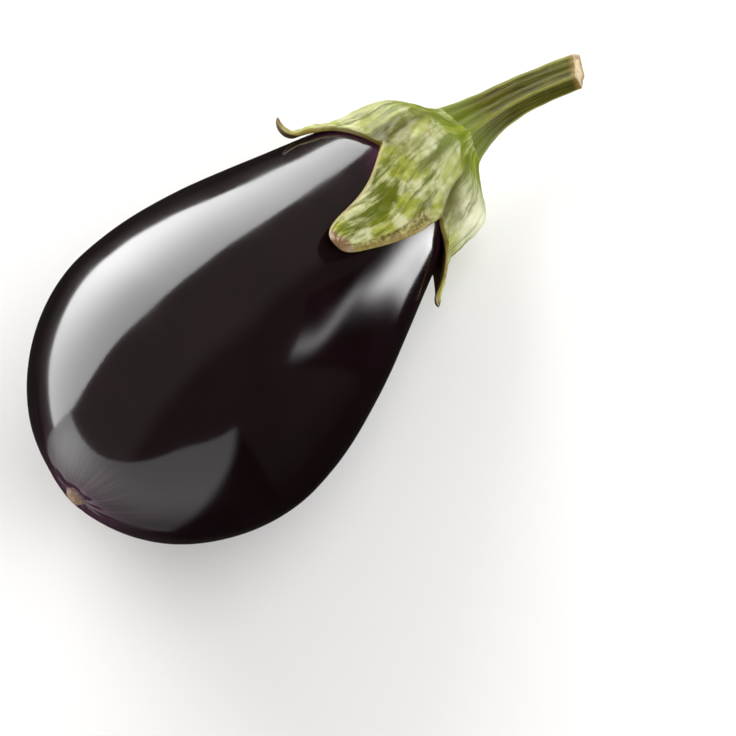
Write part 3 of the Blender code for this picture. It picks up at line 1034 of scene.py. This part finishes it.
def stalk_finish():
    """Olive under layers: pale rib lines, fresher green by the calyx, pale patches, a dry end, the cut."""
    tree = Tree("stalk_green")
    fibres = tree.noise(1.0, kind="UV", stretch=(90, 5, 1), detail=6, roughness=0.65)
    patches = tree.noise(160, detail=4)
    pith = tree.noise(1500, detail=5, roughness=0.7)
    length = tree.attribute("length")
    cut = tree.attribute("cut")

    colour = tree.blend(tree.span(fibres, 0.40, 0.60), linear(46, 44, 2), linear(82, 80, 12))
    on_rib = tree.span(tree.attribute("rib"), 0.75, 1.0, 0, 0.7)
    for share, layer in (
        (tree.times(on_rib, tree.span(fibres, 0.3, 0.6, 0.4, 1)), linear(146, 146, 74)),
        (tree.span(length, 0.0, 0.35, 0.6, 0), linear(98, 112, 16)),
        (tree.span(patches, 0.6, 0.8, 0, 0.4), linear(132, 132, 80)),
        (tree.span(length, 0.955, 1.0, 0, 0.8), linear(150, 122, 66)),
        (cut, cut_colour_with_painted_light(tree, pith)),
    ):
        colour = tree.blend(share, colour, layer)

    roughness = tree.span(fibres, 0.3, 0.7, 0.38, 0.58)
    fine = tree.bump(tree.noise(900, detail=4), 0.08 * MM, strength=0.3)
    lines = tree.bump(fibres, 0.35 * MM, strength=0.6, under=fine)
    pitted = tree.bump(tree.times(pith, cut), 0.3 * MM, strength=0.6, under=lines)
    woody = {
        "IOR": 1.42,
        "Specular IOR Level": 0.35,
        "Subsurface Weight": 0.08,
        "Subsurface Radius": (0.6, 1.0, 0.25),
        "Subsurface Scale": 0.8 * MM,
    }
    return tree.finish(colour, roughness, pitted, woody)


stalk.data.materials.append(stalk_finish())
print("stalk finish on", stalk.name)

# %% [markdown]
# ## Camera
#
# The camera looks steeply down on the fruit from beyond its blossom end. It aims at a point beside the
# fruit's axis, so that the fruit sits in the upper left of the view. Blender reads the list below as the
# columns of the camera's matrix: its right, its up, its back and its place.

# %% Camera
CAMERA_AZIMUTH = math.radians(-48.4)
CAMERA_ELEVATION = math.radians(78)
CAMERA_DISTANCE = 459.2 * MM
AIM_RIGHT = 32.05 * MM
AIM_UP = -11.1 * MM

right = np.array([math.cos(CAMERA_AZIMUTH), math.sin(CAMERA_AZIMUTH), 0])
back = np.array(
    [
        math.sin(CAMERA_AZIMUTH) * math.cos(CAMERA_ELEVATION),
        -math.cos(CAMERA_AZIMUTH) * math.cos(CAMERA_ELEVATION),
        math.sin(CAMERA_ELEVATION),
    ]
)
up = np.cross(back, right)
middle_of_fruit = BLOSSOM_END + ALONG * 0.45 * FRUIT_LENGTH
camera_data = bpy.data.cameras.new("camera")
camera_data.lens = 85  # mm, long enough to show near and far parts at nearly one scale
camera_data.sensor_width = 36
camera_data.clip_start = 0.01
camera = bpy.data.objects.new("camera", camera_data)
bpy.context.scene.collection.objects.link(camera)
camera_place = middle_of_fruit + right * AIM_RIGHT + up * AIM_UP + back * CAMERA_DISTANCE
camera.matrix_world = [[*right, 0], [*up, 0], [*back, 0], [*camera_place, 1]]
bpy.context.scene.camera = camera
print("camera at", camera_place.round(3))

# %% [markdown]
# ## Table
#
# The table is one plain, pale square. It is hidden from mirror reflections, because a skin this glossy would
# show it as a wide white band and lose its darkness.

# %% Table
TABLE_HALF = 6.0
floor_mesh = bpy.data.meshes.new("floor")
table_corners = [(x * TABLE_HALF, y * TABLE_HALF, 0) for x, y in ((-1, -1), (1, -1), (1, 1), (-1, 1))]
floor_mesh.from_pydata(table_corners, [], [(0, 1, 2, 3)])
floor = bpy.data.objects.new("floor", floor_mesh)
bpy.context.scene.collection.objects.link(floor)
floor_tree = Tree("pale_floor")
floor_tree.shader.inputs["Base Color"].default_value = (0.9, 0.9, 0.9, 1)
floor_tree.shader.inputs["Roughness"].default_value = 0.8
floor_tree.shader.inputs["Specular IOR Level"].default_value = 0.1
floor_mesh.materials.append(floor_tree.material)
floor.visible_glossy = False
print("table", 2 * TABLE_HALF, "m wide")

# %% [markdown]
# ## Light
#
# A glossy, near-black thing is lit by what it mirrors. A tall, curved light wall stands on the table along
# one side, and its reflection is the long bright strip on the flank. A narrow strip light stands on the other
# side of the neck, and a low, dim card beyond the blossom end. Both reach below the table, which reflections
# don't see. The walls are parts of cylinders that glow, so each can be given a shape and a gradient. The
# camera doesn't see them and they cast no shadows. The long one would flood the table and the calyx with
# light from one side, so it is kept from lighting anything that isn't glossy.

# %% Light walls
EYE_HEIGHT = 60 * MM  # height of the skin that mirrors the walls
FOOT = 1 * MM
WALL_ROWS = 40
WALL_COLUMNS = 120


def light_wall(name, centre, radius, azimuths, foot, top, glow):
    """A part of a cylinder that glows, between two azimuths in degrees and up from the height of its foot.

    top gives the elevation of its upper edge in degrees for an azimuth: height = tan(elevation) * radius.
    glow gives its strength for an azimuth and an elevation, both as seen from the skin.
    """
    azimuth = np.linspace(*azimuths, WALL_COLUMNS)[None, :]
    highest = np.tan(np.radians(top(azimuth))) * radius + EYE_HEIGHT
    height = foot + (highest - foot) * np.linspace(0, 1, WALL_ROWS)[:, None]
    elevation = np.degrees(np.arctan((height - EYE_HEIGHT) / radius))
    angle = np.radians(azimuth) + 0 * height
    points = np.stack([centre[0] + radius * np.cos(angle), centre[1] + radius * np.sin(angle), height], -1)
    mesh = bpy.data.meshes.new(name)
    fill_mesh(mesh, points.reshape(-1, 3), grid_quads(WALL_ROWS, WALL_COLUMNS))
    value = np.broadcast_to(glow(azimuth, elevation), height.shape).astype(np.float32)
    mesh.attributes.new("glow", "FLOAT", "POINT").data.foreach_set("value", value.ravel())
    tree = Tree(name)
    tree.shader.inputs["Base Color"].default_value = (0, 0, 0, 1)
    tree.shader.inputs["Specular IOR Level"].default_value = 0
    tree.shader.inputs["Emission Color"].default_value = (1, 1, 1, 1)
    tree.links.new(tree.attribute("glow"), tree.shader.inputs["Emission Strength"])
    mesh.materials.append(tree.material)
    wall = bpy.data.objects.new(name, mesh)
    bpy.context.scene.collection.objects.link(wall)
    wall.visible_camera = False
    wall.visible_shadow = False
    print(name, "reaches from", round(float(height.min()), 3), "to", round(float(height.max()), 3), "m")
    return wall


def long_top(azimuth):
    """Elevation of the long wall's top, in degrees: an arch, with a low part that runs on past the calyx."""
    across = np.clip(np.abs(azimuth - 86) / 64, 0, 1)
    return np.maximum(51 * (1 - across**2) ** 0.6, np.where(azimuth < 40, 9, -8))


def long_glow(azimuth, elevation):
    """Strength of the long wall: even, with a bell of more light low in its middle."""
    return 5.2 + 5.6 * bump(azimuth - 80, 38) * bump(elevation - 6, 24)


def neck_glow(azimuth, elevation):
    """Strength of the neck's light: a narrow bell that leans over as it rises, brighter at its foot."""
    leaning = bump(azimuth + 46 + 15 * step(2, 28, elevation), 5.5)
    return leaning * (2.4 + 5.0 * (1 - step(-16, 2, elevation)))


def card_glow(azimuth, elevation):
    """Strength of the blossom card: dimmer below, cut off at a slant at one end, brighter near the other."""
    inside_slant = step(0, 6, -106 - 0.6 * (20 - elevation) - azimuth)
    return (0.22 + 0.85 * step(-40, 0, elevation)) * (inside_slant + 2.0 * bump(azimuth + 202, 16))


long_light = light_wall(
    "long_light",
    centre=(0, 0),
    radius=0.27,
    azimuths=(148, 21),
    foot=FOOT,
    top=long_top,
    glow=long_glow,
)
long_light.visible_diffuse = False
light_wall(
    "neck_light",
    centre=(0.06, -0.01),
    radius=0.165,
    azimuths=(-34, -74),
    foot=-0.10,
    top=lambda azimuth: 33 + 0 * azimuth,
    glow=neck_glow,
)
light_wall(
    "blossom_card",
    centre=(-0.02, 0),
    radius=0.30,
    azimuths=(-101, -215),
    foot=-0.25,
    top=lambda azimuth: 33 - 26 * step(-130, -190, azimuth),
    glow=card_glow,
)

# %% [markdown]
# ## Soft lamps and surroundings
#
# What is matt, the calyx, the stalk and the table, is lit by three soft lamps: one overhead, one beside the
# stalk and one from the side of the long wall. Mirror reflections don't show them, so the skin stays dark
# between its highlights. The surroundings give a dim, warm fill. They are brighter on the long wall's side,
# and almost dark below the horizon, where reflections look through the hidden table.

# %% Three soft lamps
def soft_lamp(name, place, target, size, energy):
    """A round lamp that faces a target: the columns of its matrix are its right, up, back and place."""
    data = bpy.data.lights.new(name, "AREA")
    data.shape = "DISK"
    data.size = size
    data.energy = energy
    lamp = bpy.data.objects.new(name, data)
    towards = unit(np.array(target) - np.array(place))
    sideways = unit(np.cross(towards, [0, 1, 0]))
    above = np.cross(sideways, towards)
    lamp.matrix_world = [[*sideways, 0], [*above, 0], [*-towards, 0], [*place, 1]]
    lamp.visible_glossy = False
    lamp.visible_camera = False
    bpy.context.scene.collection.objects.link(lamp)
    print("lamp", name, "of", energy, "watts at", place)


soft_lamp("overhead", place=(0.25, -0.15, 0.85), target=(0.1, 0, 0), size=0.7, energy=3.3)
soft_lamp("stalk_side", place=(0.24, -0.43, 0.24), target=(0.08, 0, 0.05), size=0.30, energy=1.8)
soft_lamp("window_side", place=(0.13, 0.36, 0.24), target=(0.06, 0, 0.05), size=0.35, energy=1.9)

# %% Surroundings
# each ramp maps one coordinate of a direction: axis, shape, where it starts and ends, value before and after
WORLD_RAMPS = (
    ("Y", "SMOOTHSTEP", -0.30, -0.10, 0.07, 0.27),
    ("Z", "LINEAR", -0.6, -0.1, 0.08, 1.0),
)

world = bpy.data.worlds.new("studio")
world.use_nodes = True
world_nodes = world.node_tree.nodes
world_links = world.node_tree.links
direction = world_nodes.new("ShaderNodeTexCoord")
split = world_nodes.new("ShaderNodeSeparateXYZ")
world_links.new(direction.outputs["Generated"], split.inputs["Vector"])
product = world_nodes.new("ShaderNodeMath")
product.operation = "MULTIPLY"
for factor, (axis, shape, start, end, before, after) in zip(product.inputs, WORLD_RAMPS):
    ramp = world_nodes.new("ShaderNodeMapRange")
    ramp.interpolation_type = shape
    ramp.inputs["From Min"].default_value = start
    ramp.inputs["From Max"].default_value = end
    ramp.inputs["To Min"].default_value = before
    ramp.inputs["To Max"].default_value = after
    world_links.new(split.outputs[axis], ramp.inputs["Value"])
    world_links.new(ramp.outputs["Result"], factor)
world_links.new(product.outputs["Value"], world_nodes["Background"].inputs["Strength"])
world_nodes["Background"].inputs["Color"].default_value = (1, 0.88, 0.80, 1)
bpy.context.scene.world = world
bpy.context.scene.view_settings.view_transform = "Standard"
print("surroundings:", world.name)
